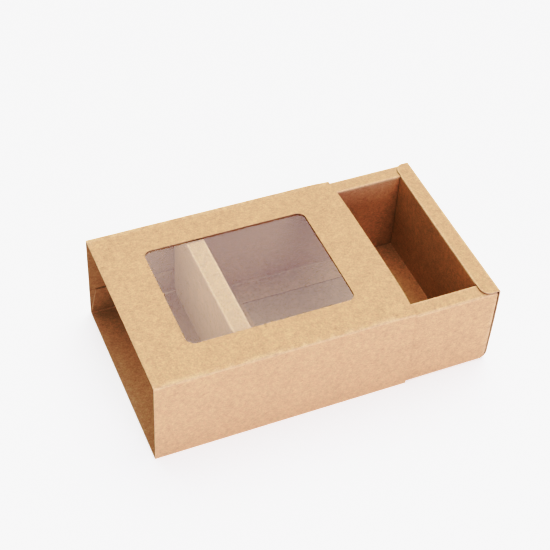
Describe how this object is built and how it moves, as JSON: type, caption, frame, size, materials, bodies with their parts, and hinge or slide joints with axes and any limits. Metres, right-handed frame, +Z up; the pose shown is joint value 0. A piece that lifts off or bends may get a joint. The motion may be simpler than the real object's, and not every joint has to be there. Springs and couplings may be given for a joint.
{
  "type": "sliding drawer gift box",
  "caption": "Gift box of kraft board: a folded tray with thick hollow walls slides through an open-ended sleeve with a clear window",
  "frame": {"origin": "middle of the sleeve's underside, on the table", "axes": "+X along the sleeve towards the end where the drawer stands out, +Y to the wall with the glued seam, +Z up through the window"},
  "size_m": [0.1756, 0.099, 0.051],
  "materials": {
    "kraft_board": "matt uncoated kraft, fibrous",
    "clear_film": "clear gloss film",
    "glue": "dried white paper glue"
  },
  "bodies": {
    "sleeve": {"sleeve": "kraft_board", "window_film": "clear_film", "window_glue": "glue", "seam_glue": "glue"},
    "drawer": {"drawer_tray": "kraft_board"}
  },
  "joints": [
    {"name": "drawer_slide", "type": "slide", "parent": "sleeve", "child": "drawer", "axis": [1, 0, 0], "range_m": [-0.1766, 0.086]}
  ]
}
